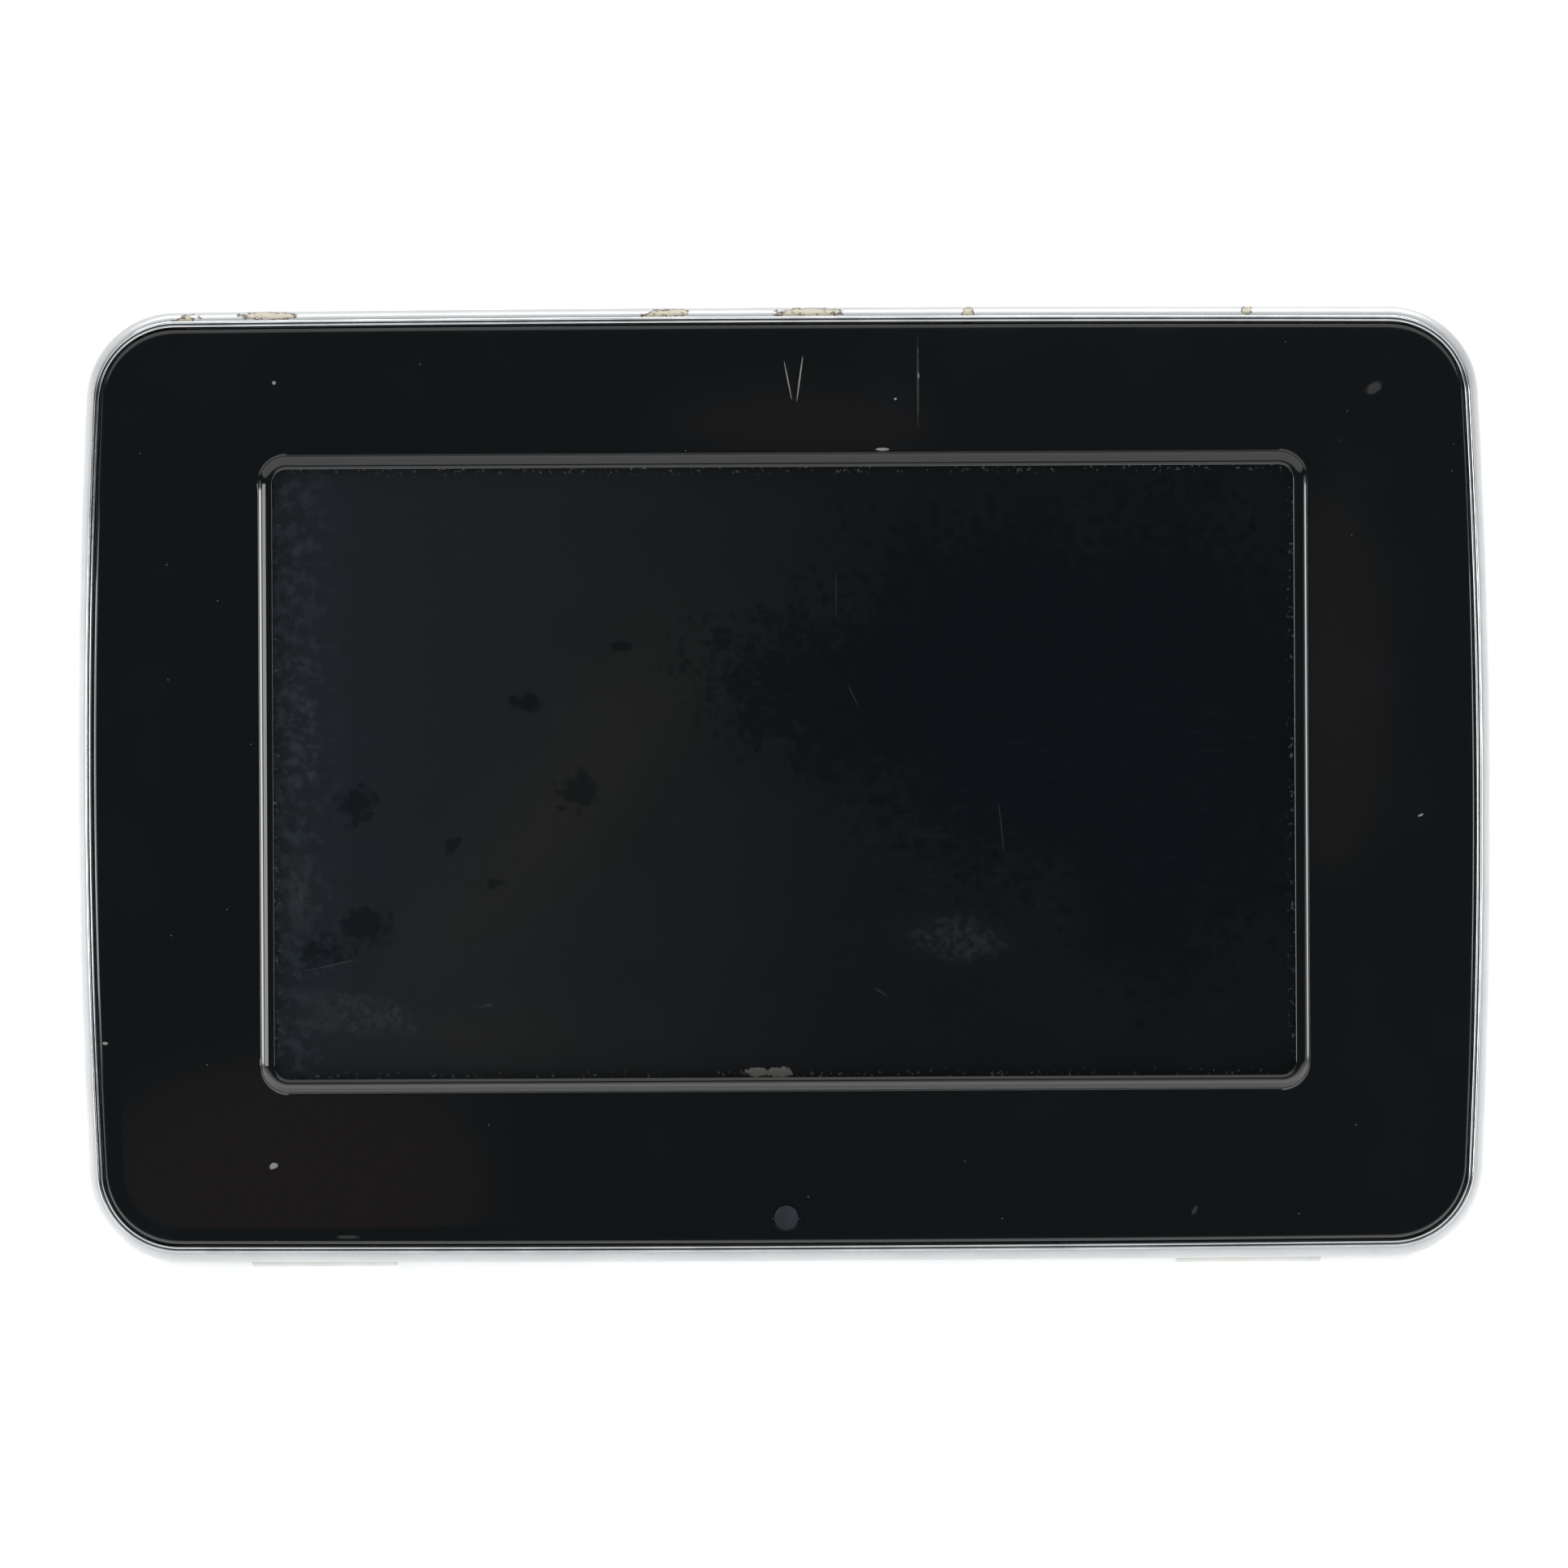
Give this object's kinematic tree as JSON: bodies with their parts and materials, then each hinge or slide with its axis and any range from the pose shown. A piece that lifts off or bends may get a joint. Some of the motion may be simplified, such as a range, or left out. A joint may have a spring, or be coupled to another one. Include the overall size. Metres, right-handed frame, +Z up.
{
  "type": "digital photo frame",
  "caption": "Landscape digital photo frame with a gloss bezel, chrome trim, silver band, recessed screen, rear keys, side sockets and a folding stand leg.",
  "frame": {"origin": "on the table, in the middle of the standing frame's bounding box, below it", "axes": "+X to the right of someone facing the screen, +Y to the back, +Z up; the body leans back 18 degrees"},
  "size_m": [0.214, 0.0772, 0.1403],
  "materials": {
    "gloss_black": "piano-black moulded ABS with hairline scratches",
    "chrome_plate": "bright chrome plating on plastic",
    "silver_paint": "silver lacquer on ABS, chipped along the top",
    "screen_glass": "dark polariser over glass, smudged and dusty",
    "steel_sheet": "pressed and plated sheet steel",
    "light_guide": "milk-white acrylic sheet",
    "foam": "closed-cell foam",
    "sensor_lens": "smoke-tinted polycarbonate",
    "black_abs": "fine spark-eroded texture on ABS",
    "key_abs": "smooth satin ABS",
    "black_epoxy": "moulded epoxy",
    "board_green": "glass-fibre board with green solder mask",
    "tinned_metal": "bright tinned metal",
    "ceramic": "small fired ceramic parts",
    "brass": "turned brass",
    "polyimide": "amber polyimide flat cable",
    "white_nylon": "natural nylon",
    "wire_red": "red wire insulation",
    "wire_white": "white wire insulation",
    "rubber_clear": "milky translucent silicone",
    "rubber_black": "moulded soft rubber",
    "speaker_paper": "pressed paper cone",
    "magnet_iron": "plated magnet",
    "screw_steel": "black-zinc plated steel"
  },
  "bodies": {
    "root": {"front_bezel": "gloss_black", "trim_ring": "chrome_plate", "housing_band": "silver_paint", "lcd_panel": "screen_glass", "lcd_metal_frame": "steel_sheet", "backlight": "light_guide", "lcd_flex": "polyimide", "screen_gasket": "foam", "sensor_window": "sensor_lens", "ir_receiver": "black_epoxy", "receiver_wires": "wire_red", "chassis_plate": "steel_sheet", "chassis_screws": "screw_steel", "board_standoffs": "brass", "main_board": "board_green", "board_screws": "screw_steel", "processor": "black_epoxy", "memory_chips": "black_epoxy", "flash_chip": "black_epoxy", "crystal": "tinned_metal", "inductors": "black_epoxy", "capacitors": "tinned_metal", "smd_parts": "ceramic", "lcd_connector": "white_nylon", "wire_connectors": "white_nylon", "tact_switches": "black_epoxy", "card_socket": "tinned_metal", "usb_socket": "tinned_metal", "mini_usb_socket": "tinned_metal", "power_jack": "black_epoxy", "coin_cell": "steel_sheet", "coin_cell_holder": "black_epoxy", "speaker_frame_left": "black_abs", "speaker_frame_right": "black_abs", "speaker_cone_left": "speaker_paper", "speaker_cone_right": "speaker_paper", "speaker_magnet_left": "magnet_iron", "speaker_magnet_right": "magnet_iron", "speaker_wires": "wire_red", "backlight_cable": "wire_white", "rear_cover": "black_abs", "cover_screws": "screw_steel", "hinge_pin": "steel_sheet", "hinge_washers": "white_nylon", "foot_left": "rubber_clear", "foot_right": "rubber_clear"},
    "stand": {"stand_leg": "black_abs", "stand_foot_pad": "rubber_black"},
    "key_power": {"key_power": "key_abs"},
    "key_menu": {"key_menu": "key_abs"},
    "key_up": {"key_up": "key_abs"},
    "key_down": {"key_down": "key_abs"},
    "key_left": {"key_left": "key_abs"},
    "key_right": {"key_right": "key_abs"},
    "key_enter": {"key_enter": "key_abs"}
  },
  "joints": [
    {"name": "stand_fold", "type": "hinge", "parent": "root", "child": "stand", "pos_m": [0, 0.00945, 0.0807], "axis": [1, 0, 0], "range_deg": [-36.31, 0]},
    {"name": "key_power_press", "type": "slide", "parent": "root", "child": "key_power", "axis": [0, -0.9511, 0.309], "range_m": [0, 0.0005], "stiffness_N_per_m": 1500, "springref_m": -0.0005},
    {"name": "key_menu_press", "type": "slide", "parent": "root", "child": "key_menu", "axis": [0, -0.9511, 0.309], "range_m": [0, 0.0005], "stiffness_N_per_m": 1500, "springref_m": -0.0005},
    {"name": "key_up_press", "type": "slide", "parent": "root", "child": "key_up", "axis": [0, -0.9511, 0.309], "range_m": [0, 0.0005], "stiffness_N_per_m": 1500, "springref_m": -0.0005},
    {"name": "key_down_press", "type": "slide", "parent": "root", "child": "key_down", "axis": [0, -0.9511, 0.309], "range_m": [0, 0.0005], "stiffness_N_per_m": 1500, "springref_m": -0.0005},
    {"name": "key_left_press", "type": "slide", "parent": "root", "child": "key_left", "axis": [0, -0.9511, 0.309], "range_m": [0, 0.0005], "stiffness_N_per_m": 1500, "springref_m": -0.0005},
    {"name": "key_right_press", "type": "slide", "parent": "root", "child": "key_right", "axis": [0, -0.9511, 0.309], "range_m": [0, 0.0005], "stiffness_N_per_m": 1500, "springref_m": -0.0005},
    {"name": "key_enter_press", "type": "slide", "parent": "root", "child": "key_enter", "axis": [0, -0.9511, 0.309], "range_m": [0, 0.0005], "stiffness_N_per_m": 1500, "springref_m": -0.0005}
  ]
}
